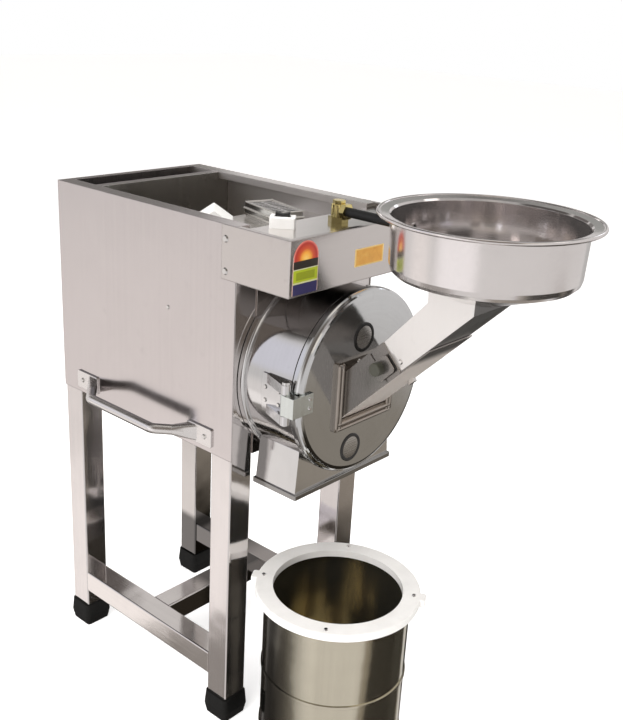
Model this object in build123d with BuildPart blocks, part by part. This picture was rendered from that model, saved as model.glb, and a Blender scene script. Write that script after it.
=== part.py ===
from build123d import *
import math
import os

# Free-standing stainless pulveriser: a sheet-clad motor cabinet on four tube
# legs, a round grinding chamber with a hinged door on its front, a hopper bowl
# whose slanted chute drops into a spout on the door, an outlet under the
# chamber and a receiving drum standing below it.
# Millimetres, +Z up, -Y is the working side, X = 0 is the centre plane.

os.makedirs("parts", exist_ok=True)

# ------------------------------------------------------------ dimensions
yo = 11.75                # cabinet front face, measured from the frame origin
half_w = 152.5            # half the cabinet width
depth = 415.2             # cabinet depth
top_z = 829.0             # cabinet top
panel_z = 475.0           # lower edge of the side panels
sheet = 1.2               # sheet thickness
leg = 43.0                # leg tube
leg_wall = 1.6
leg_x = 129.8             # leg centres
leg_yf = 22.7
leg_yb = 392.5
leg_step = 4.0            # the back right leg stands this much further in
leg_z0, leg_z1 = 14.0, 786.0
foot_h = 42.0
foot_w = 54.0             # widest part of a foot, at foot_mid
foot_mid = 17.0
rung_w = 40.0             # stretcher tube
rung_x = 131.3
rung_z0, rung_z1 = 74.0, 114.0
mid_y = 0.5 * (leg_yf + leg_yb)

box_f = 101.0             # overhang of the control box
box_z = 751.0             # its underside
plate_z = 822.0           # underside of its recessed top plate
tray_z = 788.0            # underside of the shelf in the open top
well_y, well_z = 184.0, 722.0   # front and underside of the well behind it

axis_z = 600.0            # chamber and motor axis
drum_r = 138.0
drum_in = 135.0
drum_y = -98.0            # front rim of the chamber
door_r = 141.0
door_y = -118.0           # flat face of the door
door_rim_y = -110.0       # front of the clamp lug on its edge
door_back = -102.0        # back of its skirt
hinge_x, hinge_y = -150.0, -101.0
hinge_z0, hinge_z1 = 570.0, 630.0
clamp_x, clamp_z = 137.4, 640.8

bowl_y = -299.0           # hopper bowl axis
rim_r = 144.0
rim_z = 880.0
low_line = 436.5          # y + z along the underside of the spout
up_line = 506.0           # y + z along its upper wall
spout_w = 52.0            # half width of the spout
spout_s = 119.0           # its length along the slope
gate_s = 91.0             # place of the feed gate along the slope

out_z = 434.0             # underside of the outlet flange
shaft_r = 12.5
run = 0.05                # radial running clearance

pot_x, pot_y = -59.0, -143.0    # receiving drum axis
pot_r = 111.5
ring_z = 278.6
ring_t = 11.4
ring_r = 125.7
ring_in = 99.0

handle_z = 499.0
handle_out = 42.0
hose_x, hose_z = 10.0, 840.0

k2 = math.sqrt(2.0)
inner = half_w - sheet
rung_len = leg_yb - leg_yf - leg
mid_line = 0.5 * (low_line + up_line)
slope0 = mid_line - 2.0 * door_y


def Y(v):
    return v + yo


def slant(total, gap):
    # (y, z) from y + z and z - y
    return ((total - gap) / 2.0, (total + gap) / 2.0)


def on_slope(s, t):
    # s along the chute from the door face, t across it
    return slant(mid_line + t * k2, slope0 + s * k2)


def front_at(y):
    # plane facing the user, sketch x = X and sketch y = Z
    return Plane(origin=(0, Y(y), 0), x_dir=(1, 0, 0), z_dir=(0, -1, 0))


def outward(sx, x):
    # plane facing away from the centre plane, sketch x = sx * Y, sketch y = Z
    return Plane(origin=(sx * x, 0, 0), x_dir=(0, sx, 0), z_dir=(sx, 0, 0))


def keep(builder, name):
    builder.part.label = name
    export_step(builder.part, "parts/" + name + ".step")
    print(name, len(builder.part.solids()), round(builder.part.volume / 1000.0, 1))


# ------------------------------------------------------------ stand
for leg_name, sx, cy in (
    ("leg_front_left", -1, leg_yf),
    ("leg_front_right", 1, leg_yf),
    ("leg_back_left", -1, leg_yb),
    ("leg_back_right", 1, leg_yb - leg_step),
):
    with BuildPart() as leg_tube:
        with BuildSketch(Plane.XY.offset(leg_z0)):
            with Locations((sx * leg_x, Y(cy))):
                RectangleRounded(leg, leg, 2.5)
                RectangleRounded(leg - 2 * leg_wall, leg - 2 * leg_wall, 1.2, mode=Mode.SUBTRACT)
        extrude(amount=leg_z1 - leg_z0)
    keep(leg_tube, leg_name)

foot_spots = [
    (-leg_x, Y(leg_yf)), (leg_x, Y(leg_yf)), (-leg_x, Y(leg_yb)), (leg_x, Y(leg_yb - leg_step)),
]
with BuildPart() as rubber_feet:
    # the pad swells to its widest at foot_mid, then narrows towards the tube
    with BuildSketch(Plane.XY):
        with Locations(*foot_spots):
            RectangleRounded(foot_w - 8, foot_w - 8, 5)
    extrude(amount=foot_mid, taper=-math.degrees(math.atan2(4.0, foot_mid)))
    with BuildSketch(Plane.XY.offset(foot_mid)):
        with Locations(*foot_spots):
            RectangleRounded(foot_w, foot_w, 9)
    extrude(amount=foot_h - foot_mid, taper=math.degrees(math.atan2(2.5, foot_h - foot_mid)))
    with BuildSketch(Plane.XY.offset(leg_z0)):
        with Locations(*foot_spots):
            RectangleRounded(leg, leg, 2.5)
    extrude(amount=foot_h, mode=Mode.SUBTRACT)
keep(rubber_feet, "rubber_feet")

with BuildPart() as side_stretchers:
    for sx, end in ((-1, leg_yb - leg / 2), (1, leg_yb - leg_step - leg / 2)):
        with BuildSketch(front_at(end)):
            with Locations((sx * rung_x, (rung_z0 + rung_z1) / 2)):
                RectangleRounded(rung_w, rung_z1 - rung_z0, 2.5)
                RectangleRounded(rung_w - 3.2, rung_z1 - rung_z0 - 3.2, 1.2, mode=Mode.SUBTRACT)
        extrude(amount=end - leg_yf - leg / 2)
keep(side_stretchers, "side_stretchers")

with BuildPart() as cross_stretcher:
    with BuildSketch(Plane.YZ.offset(-(rung_x - rung_w / 2))):
        with Locations((Y(mid_y), (rung_z0 + rung_z1) / 2)):
            RectangleRounded(rung_w, rung_z1 - rung_z0, 2.5)
            RectangleRounded(rung_w - 3.2, rung_z1 - rung_z0 - 3.2, 1.2, mode=Mode.SUBTRACT)
    extrude(amount=2 * (rung_x - rung_w / 2))
keep(cross_stretcher, "cross_stretcher")

# ------------------------------------------------------------ cabinet sheets
gland_y, gland_z = 350.0, 575.0
for panel_name, sx in (("left_panel", -1), ("right_panel", 1)):
    with BuildPart() as panel:
        # side sheet with a folded top flange and lip
        with BuildSketch(front_at(depth)):
            with BuildLine():
                Polyline(
                    (sx * half_w, panel_z),
                    (sx * half_w, top_z),
                    (sx * (half_w - 25), top_z),
                    (sx * (half_w - 25), top_z - 12),
                    (sx * (half_w - 25 + sheet), top_z - 12),
                    (sx * (half_w - 25 + sheet), top_z - sheet),
                    (sx * inner, top_z - sheet),
                    (sx * inner, panel_z),
                    close=True,
                )
            make_face()
        extrude(amount=depth)
        # the lip stops short of the back sheet
        with BuildSketch(Plane.XY.offset(top_z - 12)):
            with Locations((sx * (half_w - 25 + sheet / 2), Y(depth - sheet / 2))):
                Rectangle(sheet + 0.2, sheet)
        extrude(amount=12 - sheet, mode=Mode.SUBTRACT)
        # hem along the lower edge, between the legs
        with BuildSketch(Plane.XY.offset(panel_z)):
            with Locations((sx * (inner - 6), Y(mid_y))):
                Rectangle(12, rung_len - 2 * leg_step - 2)
        extrude(amount=sheet)
        if sx > 0:
            # hole for the lead-in gland
            with BuildSketch(outward(sx, half_w)):
                with Locations((Y(gland_y), gland_z)):
                    Circle(8)
            extrude(amount=-sheet, mode=Mode.SUBTRACT)
    keep(panel, panel_name)

with BuildPart() as back_panel:
    with BuildSketch(front_at(depth)):
        with Locations((0, (panel_z + top_z - sheet) / 2)):
            Rectangle(2 * inner, top_z - sheet - panel_z)
        with Locations((0, 625)):
            with GridLocations(118, 17, 2, 9):
                SlotOverall(88, 6, mode=Mode.SUBTRACT)
    extrude(amount=sheet)
    with BuildSketch(Plane.XY.offset(top_z - sheet)):
        with Locations((0, Y(depth - 6))):
            Rectangle(2 * (half_w - 25), 12)
    extrude(amount=sheet)
keep(back_panel, "back_panel")

with BuildPart() as front_panel:
    # set between the front legs, with a folded flange along each
    front_w = leg_x - leg / 2
    with BuildSketch(front_at(sheet)):
        with Locations((0, (panel_z + 1 + box_z) / 2)):
            Rectangle(2 * front_w, box_z - panel_z - 1)
        with Locations((0, axis_z)):
            Circle(13.5, mode=Mode.SUBTRACT)
    extrude(amount=sheet)
    with BuildSketch(Plane.XY.offset(panel_z + 1)):
        with Locations((-(front_w - sheet / 2), Y(sheet + 7)), (front_w - sheet / 2, Y(sheet + 7))):
            Rectangle(sheet, 14)
    extrude(amount=box_z - panel_z - 1)
keep(front_panel, "front_panel")

with BuildPart() as rear_top_rail:
    with BuildSketch(Plane.YZ.offset(-(half_w - 25))):
        with BuildLine():
            Polyline(
                (Y(338), top_z - sheet), (Y(354), top_z - sheet), (Y(354), top_z - 30),
                (Y(352.5), top_z - 30), (Y(352.5), top_z - 2.7), (Y(338), top_z - 2.7), close=True,
            )
        make_face()
    extrude(amount=2 * (half_w - 25))
keep(rear_top_rail, "rear_top_rail")

with BuildPart() as accessory_tray:
    # shallow shelf at the front, deep well behind it
    with BuildSketch(Plane.YZ.offset(-inner)):
        with BuildLine():
            Polyline(
                (Y(0), tray_z), (Y(well_y), tray_z), (Y(well_y), well_z), (Y(338), well_z), (Y(338), top_z - sheet),
                (Y(336.8), top_z - sheet), (Y(336.8), well_z + sheet), (Y(well_y + sheet), well_z + sheet),
                (Y(well_y + sheet), tray_z + sheet), (Y(sheet), tray_z + sheet), (Y(sheet), 804), (Y(0), 804), close=True,
            )
        make_face()
    extrude(amount=2 * inner)
    # the side flanges of the cabinet fold down past the tray's back wall
    with BuildSketch(Plane.XY.offset(top_z - 12.5)):
        with Locations((-(half_w - 12.5), Y(337.4)), (half_w - 12.5, Y(337.4))):
            Rectangle(26, 4)
    extrude(amount=12, mode=Mode.SUBTRACT)
keep(accessory_tray, "accessory_tray")

# ------------------------------------------------------------ control box
with BuildPart() as control_box:
    with BuildSketch(front_at(-box_f + sheet)):
        with Locations((0, (box_z + top_z) / 2)):
            Rectangle(2 * (half_w + 1), top_z - box_z)
    extrude(amount=sheet)
    # cheeks lap over the cabinet sides
    with BuildSketch(Plane.XY.offset(box_z)):
        with Locations((-(half_w + 0.5), Y((28 - box_f + sheet) / 2)), (half_w + 0.5, Y((28 - box_f + sheet) / 2))):
            Rectangle(1.0, 28 + box_f - sheet)
    extrude(amount=top_z - box_z)
    with BuildSketch(Plane.XY.offset(box_z)):
        with Locations((0, Y((-box_f + sheet) / 2))):
            Rectangle(2 * half_w, box_f - sheet)
    extrude(amount=sheet)
    # turned-in upper edges
    with BuildSketch(Plane.XY.offset(top_z - sheet)):
        with Locations((0, Y(-box_f + sheet + 4))):
            Rectangle(2 * half_w, 8)
        with Locations((-(half_w - 4), Y((-box_f + sheet) / 2)), (half_w - 4, Y((-box_f + sheet) / 2))):
            Rectangle(8, box_f - sheet)
    extrude(amount=sheet)
    fillet(control_box.edges().filter_by(Axis.Z).group_by(Axis.Y)[0], 0.9)
keep(control_box, "control_box")

with BuildPart() as control_box_top:
    with BuildSketch(Plane.YZ.offset(-half_w)):
        with BuildLine():
            Polyline(
                (Y(-box_f + sheet), plate_z), (Y(-sheet), plate_z), (Y(-sheet), 806), (Y(0), 806),
                (Y(0), plate_z + sheet), (Y(-box_f + sheet), plate_z + sheet), close=True,
            )
        make_face()
    extrude(amount=2 * half_w)
keep(control_box_top, "control_box_top")

with BuildPart() as panel_rivets:
    for sx in (-1, 1):
        with BuildSketch(outward(sx, half_w + 1)):
            with Locations((sx * Y(20), 809), (sx * Y(20), 763)):
                Circle(5.4)
        extrude(amount=2.0, taper=38)
        with BuildSketch(outward(sx, half_w)):
            with Locations((sx * Y(142), 681)):
                Circle(3.4)
        extrude(amount=1.6, taper=30)
    # rivets through the hinge pad
    for deg in (176.0, 184.0):
        a = math.radians(deg)
        with BuildSketch(Plane(
            origin=((drum_r + 3.5) * math.cos(a), 0, axis_z + (drum_r + 3.5) * math.sin(a)),
            x_dir=(0, 1, 0), z_dir=(math.cos(a), 0, math.sin(a)),
        )):
            with Locations((Y(-54), 0), (Y(-80), 0)):
                Circle(3.4)
        extrude(amount=2.0, taper=25)
keep(panel_rivets, "panel_rivets")

# ------------------------------------------------------------ carrying handles
for handle_name, sx in (("side_handle_left", -1), ("side_handle_right", 1)):
    base_x = half_w + 3
    p_0 = Vector(sx * base_x, Y(83.4), handle_z)
    p_b = Vector(sx * (half_w + handle_out), Y(131), handle_z)
    p_m = Vector(sx * (half_w + handle_out), Y(mid_y), handle_z)
    d_ab = (p_b - p_0).normalized()
    with BuildPart() as handle:
        with BuildLine() as handle_path:
            FilletPolyline(p_0 + d_ab * 12.0, p_b, p_m, radius=16)
        with BuildSketch(Plane(origin=handle_path.line @ 0, x_dir=(0, 0, 1), z_dir=handle_path.line % 0)):
            Circle(8)
        sweep(path=handle_path.line)
        # pressed transition from the foot plate to the tube
        with BuildSketch(outward(sx, base_x)):
            with Locations((sx * Y(83.4), handle_z)):
                RectangleRounded(22, 26, 4)
        with BuildSketch(Plane(origin=p_0 + d_ab * 30.0, x_dir=(0, 0, 1), z_dir=d_ab)):
            Circle(8.2)
        loft()
        # foot plate
        with BuildSketch(outward(sx, half_w)):
            with Locations((sx * Y(68), handle_z)):
                RectangleRounded(54, 30, 3)
        extrude(amount=3)
        mirror(about=Plane(origin=(0, Y(mid_y), 0), z_dir=(0, 1, 0)))
    keep(handle, handle_name)

with BuildPart() as handle_screws:
    for sx in (-1, 1):
        with BuildSketch(outward(sx, half_w + 3)):
            with Locations((sx * Y(56), handle_z), (sx * Y(2 * mid_y - 56), handle_z)):
                Circle(4.2)
        extrude(amount=2.6, taper=25)
keep(handle_screws, "handle_screws")

# ------------------------------------------------------------ motor
with BuildPart() as motor_rails:
    with BuildSketch(Plane.YZ.offset(-inner)):
        with Locations((Y(115), 497.5), (Y(205), 497.5)):
            RectangleRounded(40, 25, 2)
            RectangleRounded(36, 21, 1, mode=Mode.SUBTRACT)
    extrude(amount=2 * inner)
keep(motor_rails, "motor_rails")

with BuildPart() as motor_housing:
    with BuildSketch(front_at(245)):
        with Locations((0, axis_z)):
            Circle(72)
    extrude(amount=170)
    with BuildSketch(front_at(235)):
        with Locations((0, axis_z)):
            with PolarLocations(76, 32):
                Rectangle(12, 3)
    extrude(amount=150)
    with BuildSketch(Plane.XY.offset(510)):
        with Locations((0, Y(115)), (0, Y(205))):
            Rectangle(150, 36)
    extrude(amount=16)
    with BuildSketch(Plane.XY.offset(526)):
        with Locations((0, Y(115)), (0, Y(205))):
            Rectangle(90, 30)
    extrude(amount=30)
    with BuildSketch(front_at(245)):
        with Locations((0, axis_z)):
            Circle(shaft_r + 1.0)
    extrude(amount=170, mode=Mode.SUBTRACT)
keep(motor_housing, "motor_housing")

with BuildPart() as motor_end_shields:
    for y1, y0 in ((75, 60), (258, 245)):
        with BuildSketch(front_at(y1)):
            with Locations((0, axis_z)):
                Circle(74)
                Circle(shaft_r + run, mode=Mode.SUBTRACT)
        extrude(amount=y1 - y0)
keep(motor_end_shields, "motor_end_shields")

with BuildPart() as fan_cowl:
    with BuildSketch(front_at(306)):
        with Locations((0, axis_z)):
            Circle(76)
            Circle(74, mode=Mode.SUBTRACT)
    extrude(amount=58)
    with BuildSketch(front_at(306)):
        with Locations((0, axis_z)):
            Circle(74)
            with PolarLocations(44, 18):
                SlotOverall(38, 7, mode=Mode.SUBTRACT)
    extrude(amount=2)
keep(fan_cowl, "fan_cowl")

with BuildPart() as terminal_box:
    with BuildSketch(Plane.XY.offset(670)):
        with Locations((0, Y(155))):
            RectangleRounded(66, 74, 6)
    extrude(amount=40)
    with BuildSketch(front_at(245)):
        with Locations((0, axis_z)):
            Circle(82.1)
    extrude(amount=170, mode=Mode.SUBTRACT)
keep(terminal_box, "terminal_box")

with BuildPart() as bearing_housing:
    with BuildSketch(front_at(9)):
        with Locations((0, axis_z)):
            Circle(46)
    extrude(amount=9 - sheet)
    with BuildSketch(front_at(45)):
        with Locations((0, axis_z)):
            Circle(33)
    extrude(amount=36)
    with BuildSketch(front_at(45)):
        with Locations((0, axis_z)):
            Circle(shaft_r + run)
    extrude(amount=45, mode=Mode.SUBTRACT)
keep(bearing_housing, "bearing_housing")

with BuildPart() as cable_gland:
    with BuildSketch(outward(1, half_w)):
        with Locations((Y(gland_y), gland_z)):
            RegularPolygon(12, 6)
    extrude(amount=6)
    with BuildSketch(outward(1, half_w + 6)):
        with Locations((Y(gland_y), gland_z)):
            Circle(9.5)
    extrude(amount=9, taper=8)
    with BuildSketch(outward(1, half_w)):
        with Locations((Y(gland_y), gland_z)):
            Circle(8)
    extrude(amount=-8)
    with BuildSketch(outward(1, half_w + 20)):
        with Locations((Y(gland_y), gland_z)):
            Circle(4.5)
    extrude(amount=-34, mode=Mode.SUBTRACT)
keep(cable_gland, "cable_gland")

# ------------------------------------------------------------ grinding chamber
with BuildPart() as chamber_shell:
    with BuildSketch(front_at(0)):
        with Locations((0, axis_z)):
            Circle(drum_r)
            Circle(drum_in, mode=Mode.SUBTRACT)
    extrude(amount=-drum_y)
    with BuildSketch(front_at(0)):
        with Locations((0, axis_z)):
            Circle(drum_r + 5)
            Circle(drum_r, mode=Mode.SUBTRACT)
    extrude(amount=11)
    with BuildSketch(front_at(0)):
        with Locations((0, axis_z)):
            Circle(drum_in)
            Circle(13.5, mode=Mode.SUBTRACT)
    extrude(amount=6)
    with BuildSketch(front_at(drum_y + 6)):
        with Locations((0, axis_z)):
            Circle(drum_in)
            Circle(124, mode=Mode.SUBTRACT)
    extrude(amount=6)
    # ground stock falls through the floor of the drum
    with BuildSketch(Plane.XY.offset(axis_z - drum_r - 2)):
        with Locations((0, Y(-52))):
            Rectangle(190, 70)
    extrude(amount=70, mode=Mode.SUBTRACT)
    # boss that takes the tip of the door clamp
    with BuildSketch(front_at(-62)):
        with Locations((clamp_x, clamp_z)):
            Circle(9)
    extrude(amount=35)
    with BuildSketch(front_at(-62)):
        with Locations((clamp_x, clamp_z)):
            Circle(5.8)
    extrude(amount=40, mode=Mode.SUBTRACT)
    bead = [e for e in chamber_shell.edges().filter_by(GeomType.CIRCLE) if abs(e.radius - drum_r - 5) < 0.01]
    fillet([e for e in bead if e.center().Y < Y(-5)], 4)
keep(chamber_shell, "chamber_shell")

with BuildPart() as chamber_liner:
    with BuildSketch(front_at(-6)):
        with Locations((0, axis_z)):
            Circle(134)
            Circle(123, mode=Mode.SUBTRACT)
            with PolarLocations(124, 60):
                RegularPolygon(5, 3)
        with Locations((0, axis_z - 90)):
            Rectangle(300, 150, mode=Mode.SUBTRACT)
    extrude(amount=-6 - (drum_y + 6))
keep(chamber_liner, "chamber_liner")

with BuildPart() as sieve_screen:
    with BuildSketch(front_at(-6)):
        with Locations((0, axis_z)):
            Circle(122)
            Circle(120, mode=Mode.SUBTRACT)
        with Locations((0, axis_z + 60)):
            Rectangle(300, 156, mode=Mode.SUBTRACT)
    extrude(amount=-6 - (drum_y + 6))
    for deg in range(206, 337, 8):
        a = math.radians(deg)
        with BuildSketch(Plane(
            origin=(110 * math.cos(a), Y(-49), axis_z + 110 * math.sin(a)),
            x_dir=(0, 1, 0), z_dir=(math.cos(a), 0, math.sin(a)),
        )):
            with GridLocations(36, 1, 2, 1):
                SlotOverall(28, 5)
        extrude(amount=20, mode=Mode.SUBTRACT)
keep(sieve_screen, "sieve_screen")

with BuildPart() as outlet_duct:
    with BuildSketch(Plane.XY.offset(out_z + 8)):
        with Locations((0, Y(-51))):
            Rectangle(220, 80)
    with BuildSketch(Plane.XY.offset(530)):
        with Locations((0, Y(-51))):
            Rectangle(204, 78)
    loft()
    with BuildSketch(Plane.XY.offset(out_z + 8)):
        with Locations((0, Y(-51))):
            Rectangle(216, 76)
    with BuildSketch(Plane.XY.offset(530)):
        with Locations((0, Y(-51))):
            Rectangle(200, 74)
    loft(mode=Mode.SUBTRACT)
    with BuildSketch(front_at(2)):
        with Locations((0, axis_z)):
            Circle(drum_r)
    extrude(amount=120, mode=Mode.SUBTRACT)
keep(outlet_duct, "outlet_duct")

with BuildPart() as outlet_flange:
    with BuildSketch(Plane.XY.offset(out_z)):
        with Locations((0, Y(-51))):
            RectangleRounded(226, 88, 2)
            Rectangle(216, 76, mode=Mode.SUBTRACT)
    extrude(amount=8)
    fillet(outlet_flange.faces().sort_by(Axis.Z)[-1].outer_wire().edges(), 1.5)
keep(outlet_flange, "outlet_flange")

# ------------------------------------------------------------ door hinge, fixed half
with BuildPart() as hinge_bracket:
    # pad rolled to the drum
    with BuildSketch(front_at(-46)):
        with Locations((0, axis_z)):
            Circle(drum_r + 3.5)
            Circle(drum_r, mode=Mode.SUBTRACT)
        with Locations((-140, axis_z)):
            Rectangle(60, 58, mode=Mode.INTERSECT)
    extrude(amount=46)
    # two arms with the fixed knuckles
    for z0 in (hinge_z0, hinge_z1 - 14):
        with BuildSketch(Plane.XY.offset(z0)):
            with Locations((hinge_x, Y(hinge_y))):
                Circle(7)
            with BuildLine():
                Polyline(
                    (hinge_x - 7, Y(hinge_y)), (hinge_x + 7, Y(hinge_y)), (-134, Y(-90)), (-134, Y(-56)), (-141, Y(-56)),
                    close=True,
                )
            make_face()
        extrude(amount=14)
    with BuildSketch(front_at(-30)):
        with Locations((0, axis_z)):
            Circle(drum_r)
    extrude(amount=90, mode=Mode.SUBTRACT)
    with BuildSketch(Plane.XY.offset(hinge_z0)):
        with Locations((hinge_x, Y(hinge_y))):
            Circle(3.5)
    extrude(amount=60, mode=Mode.SUBTRACT)
keep(hinge_bracket, "hinge_bracket")

with BuildPart() as hinge_pin:
    with BuildSketch(Plane.XY.offset(hinge_z0 - 2)):
        with Locations((hinge_x, Y(hinge_y))):
            Circle(3.5)
    extrude(amount=hinge_z1 - hinge_z0 + 2)
    with BuildSketch(Plane.XY.offset(hinge_z1)):
        with Locations((hinge_x, Y(hinge_y))):
            Circle(6)
    extrude(amount=3.5, taper=12)
keep(hinge_pin, "hinge_pin")

# ------------------------------------------------------------ door
hub = Axis((0, 0, axis_z), (0, 1, 0))
with BuildPart() as door_plate:
    with BuildSketch(Plane.XY.offset(axis_z)):
        with BuildLine():
            Polyline(
                (0, Y(door_y)), (131, Y(door_y)), (133.6, Y(-117.6)), (136.1, Y(-116.6)), (138.2, Y(-115)),
                (139.7, Y(-112.9)), (140.7, Y(-110.4)), (door_r, Y(-108)),
                (door_r, Y(door_back)), (137, Y(door_back)), (137, Y(-106)), (125, Y(-106)),
                (121, Y(-114)), (0, Y(-114)), close=True,
            )
        make_face()
    revolve(axis=hub)
    # lug for the clamp
    with BuildSketch(front_at(door_back)):
        with Locations((clamp_x, clamp_z)):
            Circle(13)
        with Locations((0, axis_z)):
            Circle(138, mode=Mode.SUBTRACT)
    extrude(amount=door_back - door_rim_y)
    # flat spot under its knob
    with BuildSketch(front_at(door_rim_y)):
        with Locations((clamp_x, clamp_z)):
            Circle(19)
    extrude(amount=12, mode=Mode.SUBTRACT)
    with BuildSketch(front_at(door_back + 2)):
        with Locations((clamp_x, clamp_z)):
            Circle(4 + run)
    extrude(amount=14, mode=Mode.SUBTRACT)
    # feed opening behind the spout
    with BuildSketch(front_at(-112)):
        with Locations((0, 587)):
            Rectangle(100, 68)
    extrude(amount=10, mode=Mode.SUBTRACT)
keep(door_plate, "door_plate")

with BuildPart() as door_gasket:
    with BuildSketch(front_at(drum_y - 0.4)):
        with Locations((0, axis_z)):
            Circle(136)
            Circle(126.5, mode=Mode.SUBTRACT)
    extrude(amount=106 + drum_y - 0.4)
keep(door_gasket, "door_gasket")

with BuildPart() as inlet_frame:
    with BuildSketch(front_at(door_y)):
        with Locations((0, 591.5)):
            RectangleRounded(132, 107, 3)
            Rectangle(2 * spout_w, 75, mode=Mode.SUBTRACT)
    extrude(amount=4)
keep(inlet_frame, "inlet_frame")

# the spout is a square sheet-metal socket that climbs at 45 degrees; its floor
# runs on past the mouth as a tongue under the hopper chute
tongue_gap = 960.0        # z - y at the end of the tongue
mouth_gap = slope0 + spout_s * k2
wall = 2.0
low_in, up_in = low_line + wall * k2, up_line - wall * k2
with BuildPart() as inlet_spout:
    with BuildSketch(Plane.YZ.offset(-spout_w)):
        with BuildLine():
            a0, a1 = slant(low_line, mouth_gap), slant(up_line, mouth_gap)
            Polyline(
                (Y(door_y), low_line - door_y), (Y(a0[0]), a0[1]), (Y(a1[0]), a1[1]), (Y(door_y), up_line - door_y),
                close=True,
            )
        make_face()
    extrude(amount=2 * spout_w)
    with BuildSketch(Plane.YZ.offset(-(spout_w - wall))):
        with BuildLine():
            b0, b1 = slant(low_in, mouth_gap + 20), slant(up_in, mouth_gap + 20)
            Polyline(
                (Y(door_y + 8), low_in - door_y - 8), (Y(b0[0]), b0[1]), (Y(b1[0]), b1[1]), (Y(door_y + 8), up_in - door_y - 8),
                close=True,
            )
        make_face()
    extrude(amount=2 * (spout_w - wall), mode=Mode.SUBTRACT)
    # tongue
    with BuildSketch(Plane.YZ.offset(-(spout_w - 1))):
        with BuildLine():
            c0, c1 = slant(low_line, mouth_gap - 6), slant(low_line, tongue_gap)
            c2, c3 = slant(low_in, tongue_gap), slant(low_in, mouth_gap - 6)
            Polyline((Y(c0[0]), c0[1]), (Y(c1[0]), c1[1]), (Y(c2[0]), c2[1]), (Y(c3[0]), c3[1]), close=True)
        make_face()
    extrude(amount=2 * (spout_w - 1))
    # slot in the left wall for the feed gate
    with BuildSketch(Plane.YZ.offset(-spout_w - 1)):
        with BuildLine():
            e0, e1 = on_slope(gate_s - 1.2, -22.5), on_slope(gate_s + 1.2, -22.5)
            e2, e3 = on_slope(gate_s + 1.2, 22.5), on_slope(gate_s - 1.2, 22.5)
            Polyline((Y(e0[0]), e0[1]), (Y(e1[0]), e1[1]), (Y(e2[0]), e2[1]), (Y(e3[0]), e3[1]), close=True)
        make_face()
    extrude(amount=wall + 1.5, mode=Mode.SUBTRACT)
keep(inlet_spout, "inlet_spout")

with BuildPart() as hinge_leaf:
    with BuildSketch(Plane.XY.offset(585)):
        with Locations((hinge_x, Y((hinge_y - 122) / 2))):
            Rectangle(14, 122 + hinge_y)
        with Locations((-136.5, Y(-120))):
            Rectangle(41, 4)
    extrude(amount=30)
    with BuildSketch(Plane.XY.offset(hinge_z0 + 14.4)):
        with Locations((hinge_x, Y(hinge_y))):
            Circle(7)
    extrude(amount=31.2)
    with BuildSketch(Plane.XY.offset(hinge_z0)):
        with Locations((hinge_x, Y(hinge_y))):
            Circle(3.5 + run)
    extrude(amount=60, mode=Mode.SUBTRACT)
keep(hinge_leaf, "hinge_leaf")

with BuildPart() as grinding_pegs:
    with BuildSketch(front_at(-94)):
        with Locations((0, axis_z)):
            with PolarLocations(78, 8, start_angle=22.5):
                Circle(5)
    extrude(amount=20)
keep(grinding_pegs, "grinding_pegs")

bolt_y, bolt_z = on_slope(54, -(up_line - low_line) / 2 / k2)
with BuildPart() as door_screws:
    # inlet frame
    with BuildSketch(front_at(door_y - 4)):
        with Locations((-59, 544.5), (59, 544.5), (-59, 638), (-20, 638), (20, 638), (59, 638)):
            Circle(3.8)
    extrude(amount=2.2, taper=25)
    # hinge leaf
    with BuildSketch(front_at(-122)):
        with Locations((-122.5, 607), (-122.5, 593)):
            Circle(3.2)
    extrude(amount=2.0, taper=25)
    # bolt under the spout
    with BuildSketch(Plane(origin=(40, Y(bolt_y), bolt_z), x_dir=(1, 0, 0), z_dir=(0, -1, -1))):
        RegularPolygon(7, 6)
    extrude(amount=6)
keep(door_screws, "door_screws")

with BuildPart() as clamp_knob:
    with BuildSketch(front_at(-91)):
        with Locations((clamp_x, clamp_z)):
            Circle(4)
    extrude(amount=35)
    with BuildSketch(front_at(door_rim_y - 0.4)):
        with Locations((clamp_x, clamp_z)):
            Circle(8)
    extrude(amount=12)
    with BuildSketch(front_at(door_rim_y - 10)):
        with Locations((clamp_x, clamp_z)):
            Circle(15)
            with PolarLocations(13.5, 6):
                Circle(4.5)
    extrude(amount=22)
    fillet(clamp_knob.faces().sort_by(Axis.Y)[0].outer_wire().edges(), 2)
keep(clamp_knob, "clamp_knob")

# ------------------------------------------------------------ feed gate
gate_c = on_slope(gate_s, 0)
gate_plane = Plane(origin=(0, Y(gate_c[0]), gate_c[1]), x_dir=(1, 0, 0), z_dir=(0, -1, 1))
with BuildPart() as feed_gate:
    with BuildSketch(gate_plane):
        with Locations((0, 0)):
            Rectangle(98.8, 44)
        with Locations((-51.25, 0)):
            Rectangle(12.5, 14)
    extrude(amount=0.75, both=True)
    # finger tab bent along the spout wall
    with BuildSketch(outward(-1, 56)) as tab:
        with BuildLine():
            tab_at = [on_slope(s, t) for s, t in ((80, -18), (117, -18), (117, 9), (80, 9))]
            Polyline(*[(-Y(y), z) for y, z in tab_at], close=True)
        make_face()
        fillet(tab.vertices(), 6)
    extrude(amount=1.5)
keep(feed_gate, "feed_gate")

with BuildPart() as gate_knob:
    knob_at = on_slope(95, -2)
    with BuildSketch(outward(-1, 57.5)):
        with Locations((-Y(knob_at[0]), knob_at[1])):
            Circle(9.5)
    extrude(amount=12.5)
    fillet(gate_knob.edges().filter_by(GeomType.CIRCLE).sort_by(Axis.X)[0], 3)
keep(gate_knob, "gate_knob")

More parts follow.
